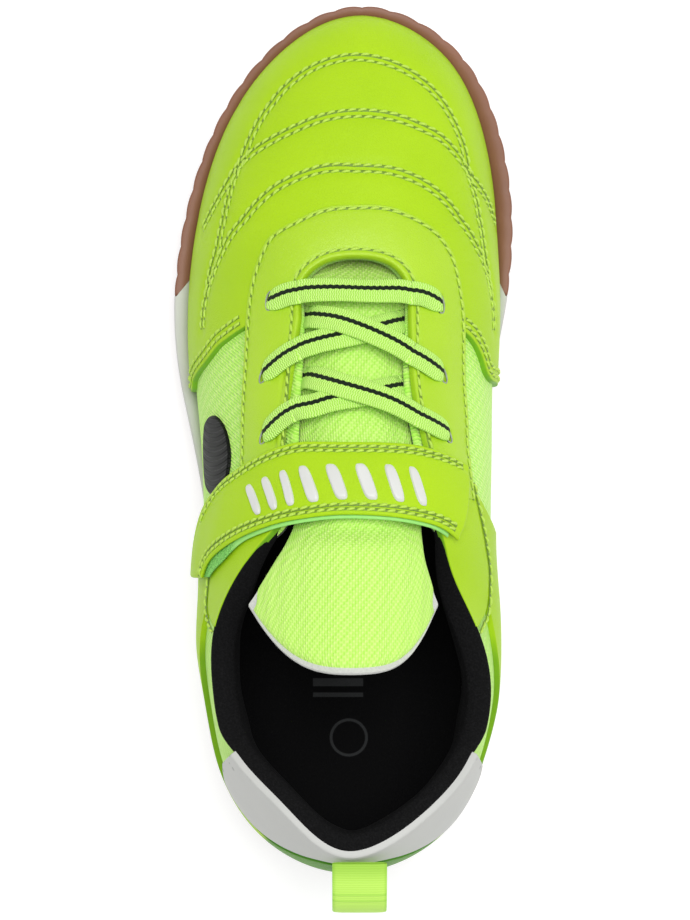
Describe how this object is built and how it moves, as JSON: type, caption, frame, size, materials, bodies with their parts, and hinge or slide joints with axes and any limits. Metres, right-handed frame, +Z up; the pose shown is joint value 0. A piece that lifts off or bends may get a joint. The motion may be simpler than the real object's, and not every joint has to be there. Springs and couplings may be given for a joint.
{
  "type": "indoor court shoe",
  "caption": "Low child's indoor court shoe for the left foot: gum cup sole, lime layered upper, elastic lacing, instep strap, padded collar and a heel loop.",
  "frame": {"origin": "on the floor at the middle of the heel's flat tread", "axes": "+Z up, +Y to the toe, +X to the inner side of the foot"},
  "size_m": [0.0857, 0.2229, 0.0995],
  "materials": {
    "gum_rubber": "satin gum rubber",
    "white_foam": "matt moulded foam",
    "black_sock": "knitted sock cover",
    "lime_mesh": "fine sports mesh",
    "lime_synthetic": "smooth synthetic with fine grain",
    "green_counter": "smooth synthetic",
    "grey_patch": "matt printed synthetic",
    "black_lining": "brushed padded lining",
    "green_hook": "hook-and-loop tape",
    "lime_elastic": "woven elastic",
    "lime_ribbon": "woven ribbon"
  },
  "bodies": {
    "root": {"outsole": "gum_rubber", "midsole": "white_foam", "insole": "black_sock", "upper": "lime_mesh", "vamp": "lime_synthetic", "eyestay": "lime_synthetic", "collar_panel_outer": "lime_synthetic", "collar_panel_inner": "lime_synthetic", "heel_counter": "green_counter", "heel_patch": "grey_patch", "collar_pad": "black_lining", "tongue": "lime_mesh", "strap": "lime_synthetic", "strap_lining": "green_hook", "lace_bar": "lime_elastic", "lace_cross_front": "lime_elastic", "lace_cross_rear": "lime_elastic", "pull_loop": "lime_ribbon"}
  },
  "joints": []
}
